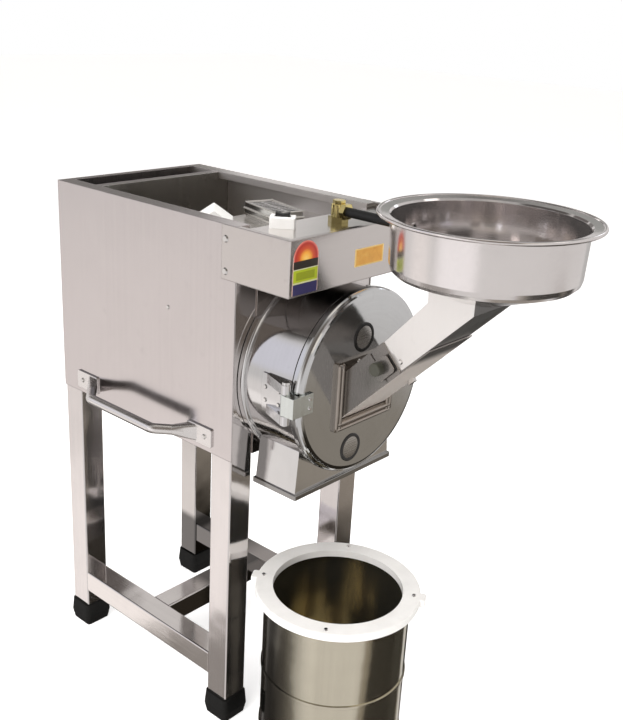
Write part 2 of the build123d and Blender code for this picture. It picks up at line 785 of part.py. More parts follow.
# ------------------------------------------------------------ hopper
bowl_axis = Axis((0, Y(bowl_y), 0), (0, 0, 1))
bowl_plane = Plane(origin=(0, Y(bowl_y), 0), x_dir=(1, 0, 0), z_dir=(0, -1, 0))
with BuildPart() as hopper_bowl:
    with BuildSketch(bowl_plane):
        with BuildLine():
            Polyline(
                (140.5, 878.6), (127.5, 876.2), (124.9, 873.5), (122.6, 812), (121, 806), (116, 801.2), (0, 758.2),
                (0, 756.9), (116.4, 800), (122, 805.2), (123.8, 811.8), (126.1, 873), (128, 875), (140.5, 877.2),
                close=True,
            )
        make_face()
        # rolled rim
        with Locations((141.2, 877.2)):
            Circle(2.8)
    revolve(axis=bowl_axis)
    # opening into the chute
    with BuildSketch(Plane.XY.offset(740)):
        with Locations((0, Y(-285.5))):
            Rectangle(96, 68)
    extrude(amount=60, mode=Mode.SUBTRACT)
    # water nipple in the wall
    with BuildSketch(front_at(-151)):
        with Locations((hose_x, hose_z)):
            Circle(6)
    extrude(amount=26)
    with BuildSketch(front_at(-151)):
        with Locations((hose_x, hose_z)):
            Circle(4)
    extrude(amount=30, mode=Mode.SUBTRACT)
keep(hopper_bowl, "hopper_bowl")

chute_low, chute_up = low_in + 0.9, up_in - 0.9
end_gap = slope0 + 97.0 * k2
top_gap = mouth_gap + 0.5 * k2
skin = 1.5
with BuildPart() as hopper_chute:
    with BuildSketch(Plane.YZ.offset(-(spout_w - wall - 0.5))):
        with BuildLine():
            g0, g1 = slant(chute_low, end_gap), slant(chute_up, end_gap)
            g2, g3 = slant(chute_up, top_gap), slant(up_line - 1, top_gap)
            Polyline(
                (Y(g0[0]), g0[1]), (Y(g1[0]), g1[1]), (Y(g2[0]), g2[1]), (Y(g3[0]), g3[1]),
                (Y(-250), 762), (Y(-250), 800), (Y(-321), 800), (Y(-321), chute_low + 321), close=True,
            )
        make_face()
    extrude(amount=2 * (spout_w - wall - 0.5))
    with BuildSketch(Plane.YZ.offset(-(spout_w - wall - 0.5 - skin))):
        with BuildLine():
            h0, h1 = slant(chute_low + skin * k2, end_gap - 4), slant(chute_up - skin * k2, end_gap - 4)
            h2 = slant(chute_up - skin * k2, top_gap + 4)
            Polyline(
                (Y(h0[0]), h0[1]), (Y(h1[0]), h1[1]), (Y(h2[0]), h2[1]),
                (Y(-251.5), 762.6), (Y(-251.5), 801), (Y(-319.5), 801), (Y(-319.5), chute_low + skin * k2 + 319.5), close=True,
            )
        make_face()
    extrude(amount=2 * (spout_w - wall - 0.5 - skin), mode=Mode.SUBTRACT)
    # trimmed to the underside of the bowl
    with BuildSketch(bowl_plane):
        with BuildLine():
            Polyline((0, 756.9), (116.4, 800), (116.4, 830), (0, 830), close=True)
        make_face()
    revolve(axis=bowl_axis, mode=Mode.SUBTRACT)
    # rivet heads that stop the chute at the mouth of the spout
    stop_at = on_slope(127, -11.5)
    for sx in (-1, 1):
        with BuildSketch(outward(sx, spout_w - wall - 0.5)):
            with Locations((sx * Y(stop_at[0]), stop_at[1])):
                Circle(3.6)
        extrude(amount=2, taper=30)
keep(hopper_chute, "hopper_chute")

# ------------------------------------------------------------ rotor
with BuildPart() as motor_shaft:
    with BuildSketch(front_at(290)):
        with Locations((0, axis_z)):
            Circle(shaft_r)
    extrude(amount=290 + 76)
keep(motor_shaft, "motor_shaft")

with BuildPart() as cooling_fan:
    with BuildSketch(front_at(284)):
        with Locations((0, axis_z)):
            Circle(22)
            with PolarLocations(42, 7):
                Rectangle(46, 3)
            Circle(shaft_r, mode=Mode.SUBTRACT)
    extrude(amount=20)
keep(cooling_fan, "cooling_fan")

with BuildPart() as beater_disc:
    with BuildSketch(front_at(-22)):
        with Locations((0, axis_z)):
            Circle(98)
    extrude(amount=8)
    with BuildSketch(front_at(-30)):
        with Locations((0, axis_z)):
            Circle(30)
    extrude(amount=32)
    with BuildSketch(front_at(-22)):
        with Locations((0, axis_z)):
            Circle(shaft_r)
    extrude(amount=40, mode=Mode.SUBTRACT)
keep(beater_disc, "beater_disc")

with BuildPart() as beaters:
    with BuildSketch(front_at(-30)):
        with Locations((0, axis_z)):
            with PolarLocations(86, 6):
                Rectangle(50, 10)
    extrude(amount=54)
keep(beaters, "beaters")

with BuildPart() as rotor_nut:
    with BuildSketch(front_at(-62)):
        with Locations((0, axis_z)):
            RegularPolygon(22, 6)
            Circle(shaft_r, mode=Mode.SUBTRACT)
    extrude(amount=14)
keep(rotor_nut, "rotor_nut")

# ------------------------------------------------------------ switch and water feed
top = plate_z + sheet
# the switch box stands askew on the plate, its long side towards the user's left
sw_x, sw_y = -83.5, -20.0
sw_u = Vector(0.62, -0.785, 0).normalized()
sw_n = Vector(-sw_u.Y, sw_u.X, 0)


def switch_plan(z):
    return Plane(origin=(sw_x, Y(sw_y), z), x_dir=sw_u, z_dir=(0, 0, 1))


switch_side = Plane(origin=(sw_x, Y(sw_y), 0), x_dir=sw_u, z_dir=sw_n * -1)
with BuildPart() as switch_enclosure:
    with BuildSketch(switch_plan(top)):
        RectangleRounded(36, 24, 2.5)
    extrude(amount=16)
    fillet(switch_enclosure.faces().sort_by(Axis.Z)[-1].outer_wire().edges(), 1.5)
    with BuildSketch(switch_plan(top)):
        Rectangle(32, 20)
    extrude(amount=13.5, mode=Mode.SUBTRACT)
    # opening for the rocker, and its pivot pin
    with BuildSketch(switch_plan(top)):
        Rectangle(22.8, 12)
    extrude(amount=30, mode=Mode.SUBTRACT)
    with BuildSketch(switch_side):
        with Locations((0, 835)):
            Circle(1.5)
    extrude(amount=11, both=True)
keep(switch_enclosure, "switch_enclosure")

with BuildPart() as switch_rocker:
    with BuildSketch(switch_side):
        with Locations((0, 835)):
            Circle(4)
        with BuildLine():
            Polyline((-10, 836), (10, 836), (10, 845), (0, 842.4), (-10, 845), close=True)
        make_face()
        with Locations((0, 835)):
            Circle(1.5 + run, mode=Mode.SUBTRACT)
    extrude(amount=5.4, both=True)
keep(switch_rocker, "switch_rocker")

elbow_y = -42.0
with BuildPart() as brass_elbow:
    with BuildSketch(Plane.XY.offset(top)):
        with Locations((hose_x, Y(elbow_y))):
            RegularPolygon(15, 6)
    extrude(amount=8)
    with BuildSketch(Plane.XY.offset(top + 8)):
        with Locations((hose_x, Y(elbow_y))):
            Circle(11)
    extrude(amount=18)
    with BuildSketch(Plane.XY.offset(top + 26)):
        with Locations((hose_x, Y(elbow_y))):
            RegularPolygon(9.5, 6)
    extrude(amount=6)
    with BuildSketch(front_at(elbow_y)):
        with Locations((hose_x, hose_z)):
            Circle(8.5)
    extrude(amount=18)
    with BuildSketch(front_at(elbow_y - 10)):
        with Locations((hose_x, hose_z)):
            RegularPolygon(12.5, 6)
    extrude(amount=8)
    with BuildSketch(front_at(elbow_y - 18)):
        with Locations((hose_x, hose_z)):
            Circle(4.5)
    extrude(amount=22)
keep(brass_elbow, "brass_elbow")

with BuildPart() as water_hose:
    with BuildSketch(front_at(elbow_y - 18)):
        with Locations((hose_x, hose_z)):
            Circle(7)
            Circle(4.5, mode=Mode.SUBTRACT)
    extrude(amount=90)
keep(water_hose, "water_hose")

# ------------------------------------------------------------ loose things in the tray
tray_top = tray_z + sheet
with BuildPart() as spare_sieves:
    for turn, z0 in ((-17, tray_top), (-13, tray_top + 8.1), (-15, tray_top + 16.2)):
        with BuildSketch(Plane.XY.offset(z0)):
            with Locations((44.5, Y(120))):
                RectangleRounded(52, 95, 4, rotation=turn)
            with Locations(Location((44.5, Y(120), 0), (0, 0, turn))):
                with GridLocations(20, 10, 2, 8):
                    SlotOverall(16, 5, mode=Mode.SUBTRACT)
        extrude(amount=8)
keep(spare_sieves, "spare_sieves")

# gabled carton across the edge of the well
ridge = Vector(0.68, 0.73, 0).normalized()
with BuildPart() as accessory_box:
    with BuildSketch(Plane(origin=(-58.5, Y(147), 0), x_dir=(-ridge.Y, ridge.X, 0), z_dir=ridge)):
        with BuildLine():
            Polyline((-30, tray_top), (30, tray_top), (30, tray_top + 4), (0, 814), (-30, tray_top + 4), close=True)
        make_face()
    extrude(amount=64)
    fillet(accessory_box.edges().filter_by(lambda e: e.length > 60 and e.center().Z > tray_top + 2), 1.5)
keep(accessory_box, "accessory_box")

# ------------------------------------------------------------ receiving drum
with BuildPart() as receiving_drum:
    with BuildSketch(Plane.XY):
        with Locations((pot_x, Y(pot_y))):
            Circle(pot_r)
    extrude(amount=ring_z)
    with BuildSketch(Plane.XY.offset(2)):
        with Locations((pot_x, Y(pot_y))):
            Circle(pot_r - 2)
    extrude(amount=ring_z, mode=Mode.SUBTRACT)
    # rolled beads in the wall
    for z0 in (40.0, 150.0):
        with BuildSketch(Plane.XY.offset(z0)):
            with Locations((pot_x, Y(pot_y))):
                Circle(pot_r + 1.6)
                Circle(pot_r - 1, mode=Mode.SUBTRACT)
        extrude(amount=5)
keep(receiving_drum, "receiving_drum")

with BuildPart() as receiving_ring:
    with BuildSketch(Plane.XY.offset(ring_z)):
        with Locations((pot_x, Y(pot_y))):
            Circle(ring_r)
            with PolarLocations(ring_r, 2, start_angle=122):
                RectangleRounded(16, 22, 4)
            Circle(ring_in, mode=Mode.SUBTRACT)
    extrude(amount=ring_t)
    fillet(receiving_ring.faces().sort_by(Axis.Z)[-1].outer_wire().edges(), 2)
keep(receiving_ring, "receiving_ring")

with BuildPart() as ring_screws:
    with BuildSketch(Plane.XY.offset(ring_z + ring_t)):
        with Locations((pot_x, Y(pot_y))):
            with PolarLocations(pot_r + 4, 4, start_angle=32):
                Circle(3.4)
    extrude(amount=1.8, taper=25)
keep(ring_screws, "ring_screws")
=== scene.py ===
import bpy
import bmesh
import math
from mathutils import Matrix, Vector


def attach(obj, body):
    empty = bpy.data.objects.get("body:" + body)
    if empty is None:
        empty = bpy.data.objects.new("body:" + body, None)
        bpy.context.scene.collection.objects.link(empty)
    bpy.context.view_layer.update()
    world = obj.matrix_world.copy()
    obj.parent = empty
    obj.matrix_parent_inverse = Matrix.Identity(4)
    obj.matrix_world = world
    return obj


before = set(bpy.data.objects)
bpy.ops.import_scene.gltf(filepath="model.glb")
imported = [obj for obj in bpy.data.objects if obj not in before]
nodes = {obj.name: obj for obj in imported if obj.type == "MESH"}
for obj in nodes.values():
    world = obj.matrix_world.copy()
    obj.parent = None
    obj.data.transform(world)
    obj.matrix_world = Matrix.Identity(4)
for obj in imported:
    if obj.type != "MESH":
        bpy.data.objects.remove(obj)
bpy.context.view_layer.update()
scene = bpy.context.scene
YO = 0.01175              # cabinet front face in the shared frame


def at(x, y, z):
    """Millimetres from the cabinet's front face to metres in the shared frame."""
    return Vector((x * 0.001, y * 0.001 + YO, z * 0.001))


# ------------------------------------------------------------ camera
def place_camera():
    az, el, roll = math.radians(-49.1164), math.radians(20.2814), math.radians(3.1001)
    right = Vector((math.cos(az), math.sin(az), 0.0))
    fwd = Vector((-math.sin(az) * math.cos(el), math.cos(az) * math.cos(el), -math.sin(el)))
    up = right.cross(fwd)
    r2 = math.cos(roll) * right + math.sin(roll) * up
    u2 = -math.sin(roll) * right + math.cos(roll) * up
    cam = bpy.data.cameras.new("camera")
    cam.sensor_fit = "AUTO"
    cam.sensor_width = 36.0
    cam.lens = 977.294 * 36.0 / 720.0
    cam.clip_start, cam.clip_end = 0.05, 60.0
    ob = bpy.data.objects.new("camera", cam)
    scene.collection.objects.link(ob)
    m = Matrix.Identity(4)
    for i in range(3):
        m[i][0], m[i][1], m[i][2] = r2[i], u2[i], -fwd[i]
    m[0][3], m[1][3], m[2][3] = -1.06238, -0.93406 + YO, 1.12355
    ob.matrix_world = m
    scene.camera = ob


place_camera()
scene.view_settings.view_transform = "Standard"
scene.view_settings.look = "None"


# ------------------------------------------------------------ studio
def heading(az, el):
    a, e = math.radians(az), math.radians(el)
    return Vector((math.cos(a) * math.cos(e), math.sin(a) * math.cos(e), math.sin(e)))


def studio_world():
    """A pale room with a few soft cards for the polished steel to reflect."""
    world = bpy.data.worlds.new("studio")
    scene.world = world
    world.use_nodes = True
    nt = world.node_tree
    bg = nt.nodes["Background"]
    way = nt.nodes.new("ShaderNodeTexCoord").outputs["Generated"]

    def card(below, az, el, near, far, colour):
        dot = nt.nodes.new("ShaderNodeVectorMath")
        dot.operation = "DOT_PRODUCT"
        nt.links.new(way, dot.inputs[0])
        dot.inputs[1].default_value = heading(az, el)
        span = nt.nodes.new("ShaderNodeMapRange")
        span.interpolation_type = "SMOOTHSTEP"
        span.inputs["From Min"].default_value = math.cos(math.radians(far))
        span.inputs["From Max"].default_value = math.cos(math.radians(near))
        nt.links.new(dot.outputs["Value"], span.inputs["Value"])
        mix = nt.nodes.new("ShaderNodeMix")
        mix.data_type = "RGBA"
        nt.links.new(span.outputs["Result"], mix.inputs["Factor"])
        if below is None:
            mix.inputs[6].default_value = (0.70, 0.675, 0.665, 1)
        else:
            nt.links.new(below, mix.inputs[6])
        mix.inputs[7].default_value = (*colour, 1)
        return mix.outputs[2]

    # ceiling with its lamps, far wall and window side
    c = card(None, 0, 90, 25, 62, (0.44, 0.43, 0.42))
    c = card(c, 0, 90, 8, 14, (0.85, 0.79, 0.72))
    c = card(c, 110, 52, 17, 27, (0.06, 0.053, 0.048))
    c = card(c, -140, 38, 18, 44, (0.17, 0.145, 0.125))
    c = card(c, -40, 50, 5, 8, (1.8, 1.7, 1.65))
    c = card(c, 8, 21, 4, 6, (2.1, 2.2, 2.35))
    c = card(c, -100, 27, 12, 15, (0.95, 0.89, 0.80))
    c = card(c, 165, 11, 4, 7, (1.9, 1.85, 1.8))
    c = card(c, 139, 16, 9, 20, (0.78, 0.77, 0.84))
    c = card(c, 178, -13, 14, 30, (0.98, 0.945, 0.945))
    c = card(c, 8, -13, 8, 16, (0.50, 0.49, 0.48))
    c = card(c, 66, 16, 4, 7, (2.0, 1.95, 1.9))
    c = card(c, 129, -26, 7, 20, (0.88, 0.83, 0.805))
    c = card(c, 129, -31, 4, 8, (1.08, 1.02, 0.99))
    # the brown floor near the machine
    c = card(c, 134, -62, 25.9, 27.1, (0.30, 0.275, 0.255))
    c = card(c, 100, -52, 14, 22, (0.10, 0.09, 0.085))
    c = card(c, -48, -54, 32.5, 38, (0.283, 0.25, 0.21))
    c = card(c, -52, -54, 24.5, 28.5, (0.022, 0.018, 0.013))
    c = card(c, 54, -42, 12, 22, (0.07, 0.06, 0.055))
    c = card(c, 41, -27, 8, 16, (0.02, 0.018, 0.015))
    c = card(c, 20, -31, 7, 13, (0.03, 0.027, 0.022))
    c = card(c, -18, -34, 9, 14, (0.04, 0.036, 0.03))
    # dark wall behind, on the right
    c = card(c, 22, 40, 10, 18, (0.05, 0.045, 0.04))
    c = card(c, 30, 19, 10, 13, (0.30, 0.305, 0.29))
    c = card(c, 54, 10, 6.5, 9, (0.20, 0.19, 0.18))
    c = card(c, 66, 30, 11.6, 12.8, (0.12, 0.105, 0.10))
    c = card(c, 41, 30, 5, 8.5, (0.33, 0.31, 0.30))
    nt.links.new(c, bg.inputs["Color"])
    bg.inputs["Strength"].default_value = 1.0
    plain = nt.nodes.new("ShaderNodeBackground")
    plain.inputs["Color"].default_value = (1, 1, 1, 1)
    plain.inputs["Strength"].default_value = 1.0
    ray = nt.nodes.new("ShaderNodeLightPath")
    both = nt.nodes.new("ShaderNodeMixShader")
    nt.links.new(ray.outputs["Is Camera Ray"], both.inputs[0])
    nt.links.new(bg.outputs[0], both.inputs[1])
    nt.links.new(plain.outputs[0], both.inputs[2])
    nt.links.new(both.outputs[0], nt.nodes["World Output"].inputs["Surface"])


def area_light(name, place, aim, size, energy, colour=(1, 1, 1)):
    lamp = bpy.data.lights.new(name, "AREA")
    lamp.energy, lamp.size, lamp.color = energy, size, colour
    ob = bpy.data.objects.new(name, lamp)
    ob.location = place
    ob.rotation_euler = (Vector(aim) - ob.location).to_track_quat("-Z", "Y").to_euler()
    scene.collection.objects.link(ob)
    return ob


def studio_floor():
    bm = bmesh.new()
    bmesh.ops.create_grid(bm, x_segments=2, y_segments=2, size=14.0)
    me = bpy.data.meshes.new("floor")
    bm.to_mesh(me)
    bm.free()
    ob = bpy.data.objects.new("floor", me)
    scene.collection.objects.link(ob)
    mat = bpy.data.materials.new("floor")
    mat.use_nodes = True
    b = mat.node_tree.nodes["Principled BSDF"]
    b.inputs["Base Color"].default_value = (0.88, 0.875, 0.87, 1)
    b.inputs["Roughness"].default_value = 0.9
    b.inputs["Specular IOR Level"].default_value = 0.0
    b.inputs["Emission Color"].default_value = (1, 1, 1, 1)
    b.inputs["Emission Strength"].default_value = 0.62
    me.materials.append(mat)
    ob.visible_glossy = False


studio_world()
studio_floor()
area_light("key", (-2.3, -0.3, 2.1), (0, 0, 0.5), 1.8, 70, (1, 0.985, 0.97)).visible_glossy = False
area_light("top", (0.2, -0.2, 3.2), (0, 0, 0.4), 2.4, 60).visible_glossy = False


# ------------------------------------------------------------ material tools
class Mat:
    """One node material; positions are the piece's own coordinates in metres."""

    def __init__(self, name):
        self.mat = bpy.data.materials.new(name)
        self.mat.use_nodes = True
        self.nt = self.mat.node_tree
        self.bsdf = self.nt.nodes["Principled BSDF"]
        self.own = None

    def node(self, kind, **props):
        n = self.nt.nodes.new("ShaderNode" + kind)
        for k, v in props.items():
            setattr(n, k, v)
        return n

    def put(self, value, socket):
        if isinstance(value, bpy.types.NodeSocket):
            self.nt.links.new(value, socket)
        else:
            socket.default_value = value

    def set(self, **values):
        for k, v in values.items():
            self.put(v, self.bsdf.inputs[k.replace("_", " ")])

    def place(self):
        if self.own is None:
            self.own = self.node("TexCoord").outputs["Object"]
        return self.own

    def facing(self, way, lo, hi):
        """0 to 1 as the surface turns towards this direction of the piece."""
        d = self.node("VectorMath", operation="DOT_PRODUCT")
        self.nt.links.new(self.node("TexCoord").outputs["Normal"], d.inputs[0])
        d.inputs[1].default_value = Vector(way).normalized()
        return self.span(d.outputs["Value"], lo, hi, 0.0, 1.0, True)

    def xyz(self):
        s = self.node("SeparateXYZ")
        self.nt.links.new(self.place(), s.inputs[0])
        return s.outputs

    def scaled(self, scale, shift=(0, 0, 0), vec=None):
        m = self.node("Mapping")
        self.nt.links.new(vec if vec is not None else self.place(), m.inputs["Vector"])
        m.inputs["Location"].default_value = shift
        m.inputs["Scale"].default_value = scale
        return m.outputs["Vector"]

    def noise(self, scale, detail=3.0, rough=0.5, warp=0.0, shift=(0, 0, 0), vec=None):
        n = self.node("TexNoise")
        if isinstance(scale, (int, float)):
            scale = (scale, scale, scale)
        self.nt.links.new(self.scaled(scale, shift, vec), n.inputs["Vector"])
        n.inputs["Scale"].default_value = 1.0
        n.inputs["Detail"].default_value = detail
        n.inputs["Roughness"].default_value = rough
        n.inputs["Distortion"].default_value = warp
        return n.outputs["Fac"]

    def math(self, op, a, b=0.0, c=0.0, clamp=False):
        n = self.node("Math", operation=op, use_clamp=clamp)
        self.put(a, n.inputs[0])
        self.put(b, n.inputs[1])
        if len(n.inputs) > 2:
            self.put(c, n.inputs[2])
        return n.outputs[0]

    def span(self, fac, lo, hi, a=0.0, b=1.0, smooth=False):
        n = self.node("MapRange")
        if smooth:
            n.interpolation_type = "SMOOTHSTEP"
        self.put(fac, n.inputs["Value"])
        for k, v in (("From Min", lo), ("From Max", hi), ("To Min", a), ("To Max", b)):
            n.inputs[k].default_value = v
        return n.outputs["Result"]

    def ramp(self, fac, stops, mode="LINEAR"):
        n = self.node("ValToRGB")
        cr = n.color_ramp
        cr.interpolation = mode
        while len(cr.elements) < len(stops):
            cr.elements.new(0.5)
        for e, (p, c) in zip(cr.elements, stops):
            e.position = p
            e.color = (*c, 1)
        self.put(fac, n.inputs["Fac"])
        return n.outputs["Color"]

    def mix(self, fac, a, b, mode="MIX"):
        n = self.node("Mix", data_type="RGBA", blend_type=mode)
        self.put(fac, n.inputs["Factor"])
        self.put(a if isinstance(a, bpy.types.NodeSocket) else (*a, 1), n.inputs[6])
        self.put(b if isinstance(b, bpy.types.NodeSocket) else (*b, 1), n.inputs[7])
        return n.outputs[2]

    def rounded(self, radius):
        n = self.node("Bevel", samples=4)
        n.inputs["Radius"].default_value = radius
        return n.outputs["Normal"]

    def bump(self, height, distance, strength=1.0, normal=None):
        n = self.node("Bump")
        n.inputs["Strength"].default_value = strength
        n.inputs["Distance"].default_value = distance
        self.put(height, n.inputs["Height"])
        if normal is not None:
            self.nt.links.new(normal, n.inputs["Normal"])
        return n.outputs["Normal"]


def tone(c, k):
    return tuple(min(1.0, v * k) for v in c)


def steel(name, tint, rough, grain="z", marks=0.035, waves=0.00035, wave_scale=7.0, stain=0.05, fine=0.00002, edge=0.0007, polar=None, dirt_and_painted_shade=None, painted_face_shading=None, hollow=None, metal=1.0):
    """Stainless steel: fine marks along the rolling direction, faint stains, and a slightly uneven sheet; optionally
    painted shade along an axis, painted light and shade on faces that look one way, and painted shade on the inside.
    """
    g = Mat(name)
    if polar is not None:
        # marks that run round an axis along Y at this height
        x, y, z = g.xyz()
        zz = g.math("SUBTRACT", z, polar[1])
        xx = g.math("SUBTRACT", x, polar[0])
        r = g.math("SQRT", g.math("ADD", g.math("MULTIPLY", xx, xx), g.math("MULTIPLY", zz, zz)))
        a = g.math("ARCTAN2", zz, xx)
        com = g.node("CombineXYZ")
        g.put(g.math("MULTIPLY", a, 0.02), com.inputs[0])
        g.put(r, com.inputs[1])
        g.put(y, com.inputs[2])
        vec = com.outputs[0]
        long_marks = g.noise((60, 1300, 1300), 4.0, 0.62, vec=vec)
        bands = g.noise((12, 170, 170), 3.0, 0.55, vec=vec)
    else:
        thin = {"x": (5, 1300, 1300), "y": (1300, 5, 1300), "z": (1300, 1300, 5)}[grain]
        wide = {"x": (1.5, 170, 170), "y": (170, 1.5, 170), "z": (170, 170, 1.5)}[grain]
        long_marks = g.noise(thin, 4.0, 0.62)
        bands = g.noise(wide, 3.0, 0.55)
    cloud = g.noise(11.0, 4.0, 0.6, 0.6)
    spots = g.noise(60.0, 3.0, 0.6, 0.2)
    # colour: bands of the rolling marks over faint stains
    shade = g.math("ADD", g.math("MULTIPLY", bands, 0.35), g.math("MULTIPLY", cloud, 0.65))
    base = g.ramp(shade, [(0.30, tone(tint, 1.0 - stain)), (0.70, tone(tint, 1.0 + 0.5 * stain))])
    dull = g.span(spots, 0.62, 0.80, 0.0, 0.55)
    base = g.mix(dull, base, tone(tint, 0.90))
    if dirt_and_painted_shade is not None:
        # painted shade: darkened towards one end, along one axis
        along = g.xyz()["xyz".index(dirt_and_painted_shade[0])]
        wander = g.math("ADD", along, g.math("MULTIPLY", g.math("SUBTRACT", cloud, 0.5), 0.02))
        dim = g.span(wander, dirt_and_painted_shade[1], dirt_and_painted_shade[2], 0.0, 1.0, True)
        if len(dirt_and_painted_shade) > 4:
            dim = g.math("MULTIPLY", dim, g.span(g.xyz()["xyz".index(dirt_and_painted_shade[4])], dirt_and_painted_shade[5], dirt_and_painted_shade[6], 0.0, 1.0, True))
        base = g.mix(dim, base, tone(tint, dirt_and_painted_shade[3]))
    looks = []
    for way, lo, hi, shade_k, rough_k, *part in painted_face_shading or ():
        # painted light and shade on the faces that look one way, with their own roughness: direction, from, to, shade,
        # roughness, then the part: axis, from, to
        look = g.facing(way, lo, hi)
        if part:
            look = g.math("MULTIPLY", look, g.span(g.xyz()["xyz".index(part[0])], part[1], part[2], 0.0, 1.0, True))
        base = g.mix(look, base, tone(tint, shade_k))
        looks.append((look, rough_k))
    if hollow is not None:
        # painted shade on the inside, the side that looks at an upright axis, with its own roughness: x, y, shade,
        # roughness
        off = g.node("VectorMath", operation="SUBTRACT")
        g.nt.links.new(g.place(), off.inputs[0])
        off.inputs[1].default_value = (hollow[0], hollow[1], 10.0)
        d = g.node("VectorMath", operation="DOT_PRODUCT")
        g.nt.links.new(g.node("TexCoord").outputs["Normal"], d.inputs[0])
        flat = g.node("VectorMath", operation="MULTIPLY")
        g.nt.links.new(off.outputs[0], flat.inputs[0])
        flat.inputs[1].default_value = (1.0, 1.0, -0.006)
        g.nt.links.new(flat.outputs[0], d.inputs[1])
        look = g.span(d.outputs["Value"], 0.012, -0.012, 0.0, 1.0, True)
        base = g.mix(look, base, tone(tint, hollow[2]))
        looks.append((look, hollow[3]))
    g.set(Base_Color=base, Metallic=metal)
    # roughness follows the marks
    r1 = g.span(long_marks, 0.3, 0.7, rough - marks, rough + marks)
    r2 = g.span(cloud, 0.3, 0.75, -0.5 * marks, 0.9 * marks)
    for look, rough_k in looks:
        r2 = g.math("ADD", r2, g.math("MULTIPLY", look, rough_k - rough))
    g.set(Roughness=g.math("ADD", r1, r2, clamp=True))
    n = g.rounded(edge) if edge else None
    n = g.bump(g.noise(wave_scale, 2.0, 0.45), waves * 20, 0.12, n)
    n = g.bump(long_marks, fine * 10, 0.09, n)
    g.set(Normal=n)
    return g.mat


def moulded(name, colour, rough, speck=0.03, grain=900.0, depth=0.00004, dirt=(0.0, (0, 0, 0)), edge=0.0008, coat=0.0, gloss=0.5):
    """Moulded plastic or rubber: a fine pitted skin, slight colour drift, some dust in the low places."""
    g = Mat(name)
    skin = g.noise(grain, 2.0, 0.5)
    drift = g.noise(24.0, 4.0, 0.6, 0.3)
    base = g.ramp(drift, [(0.30, tone(colour, 1.0 - 3 * speck)), (0.70, tone(colour, 1.0 + speck))])
    if dirt[0] > 0:
        dirt_and_painted_shade = g.noise(42.0, 5.0, 0.65, 0.8)
        base = g.mix(g.span(dirt_and_painted_shade, 0.52, 0.75, 0.0, dirt[0]), base, dirt[1])
    g.set(Base_Color=base, Metallic=0.0, Coat_Weight=coat, Specular_IOR_Level=gloss)
    g.set(Roughness=g.math("ADD", g.span(skin, 0.3, 0.7, rough - 0.05, rough + 0.05), g.span(drift, 0.3, 0.7, -0.04, 0.06), clamp=True))
    n = g.rounded(edge) if edge else None
    g.set(Normal=g.bump(skin, depth, 0.35, n))
    return g.mat


def cast(name, colour, rough, metal=1.0, edge=0.0008):
    """Plain machined or cast iron: darker pits and a grainy skin."""
    g = Mat(name)
    grit = g.noise(420.0, 4.0, 0.65)
    patch = g.noise(26.0, 5.0, 0.6, 0.5)
    base = g.ramp(patch, [(0.28, tone(colour, 0.75)), (0.55, colour), (0.75, tone(colour, 1.18))])
    rust = g.mix(g.span(grit, 0.60, 0.78, 0.0, 0.6), base, tone(colour, 0.5))
    g.set(Base_Color=rust, Metallic=metal)
    g.set(Roughness=g.span(grit, 0.3, 0.7, rough - 0.1, rough + 0.1))
    g.set(Normal=g.bump(grit, 0.0003, 0.3, g.rounded(edge)))
    return g.mat


def enamel(name, colour, rough):
    """Sprayed enamel: orange peel under a clear coat."""
    g = Mat(name)
    peel = g.noise(330.0, 2.0, 0.5)
    drift = g.noise(15.0, 4.0, 0.6, 0.4)
    g.set(Base_Color=g.ramp(drift, [(0.3, tone(colour, 0.86)), (0.7, tone(colour, 1.08))]), Metallic=0.0, Coat_Weight=0.35, Coat_Roughness=0.12)
    g.set(Roughness=g.span(peel, 0.3, 0.7, rough - 0.05, rough + 0.07))
    g.set(Normal=g.bump(peel, 0.0002, 0.25, g.rounded(0.001)))
    return g.mat


# ------------------------------------------------------------ finishes of the CAD nodes
AX = 0.600                # chamber axis height
panel = steel("panel_sheet", (0.73, 0.685, 0.68), 0.17, "z", 0.035, stain=0.04, edge=0.0018)
# painted shade: faces of the back sheet that look to the front are toned darker
back_sheet = steel("back_sheet", (0.73, 0.685, 0.68), 0.17, "z", 0.035, stain=0.04, edge=0.0018, painted_face_shading=[((0, -1, 0), 0.7, 0.9, 0.55, 0.30)])
# painted shade: the underside of the control box is toned darker
box_sheet = steel("control_box_sheet", (0.74, 0.70, 0.68), 0.20, "x", 0.035, stain=0.035, edge=0.0022, painted_face_shading=[((0, 0, -1), 0.7, 0.9, 0.42, 0.30)])
# painted light: a lighter copy of the panel steel, with its inward face toned lighter still
far_panel = steel("far_panel_sheet", (0.80, 0.77, 0.745), 0.17, "z", 0.035, stain=0.04, edge=0.0018, painted_face_shading=[((-1, 0, 0), 0.7, 0.9, 1.14, 0.52)])
# painted shade: the front sheet is a darker copy of the panel steel, toned for the shade under the drum
dark_sheet = steel("front_sheet", (0.54, 0.50, 0.475), 0.10, "z", 0.03, stain=0.05)
leg = steel("leg_tube", (0.77, 0.735, 0.725), 0.075, "z", 0.03, waves=0.0004, wave_scale=9, stain=0.05, metal=0.98)
# painted shade: the back right leg is a darker copy of the leg steel, darker still towards its foot
far_leg = steel("far_leg_tube", (0.62, 0.595, 0.58), 0.075, "z", 0.03, waves=0.0004, wave_scale=9, stain=0.05, dirt_and_painted_shade=("z", 0.138, 0.120, 0.26))
# painted shade: the stretchers darken towards the back on the right-hand side
rung_y = steel("stretcher_tube", (0.82, 0.785, 0.765), 0.06, "y", 0.025, waves=0.0003, wave_scale=9, stain=0.05, dirt_and_painted_shade=("y", 0.20, 0.29, 0.24, "x", 0.0, 0.04))
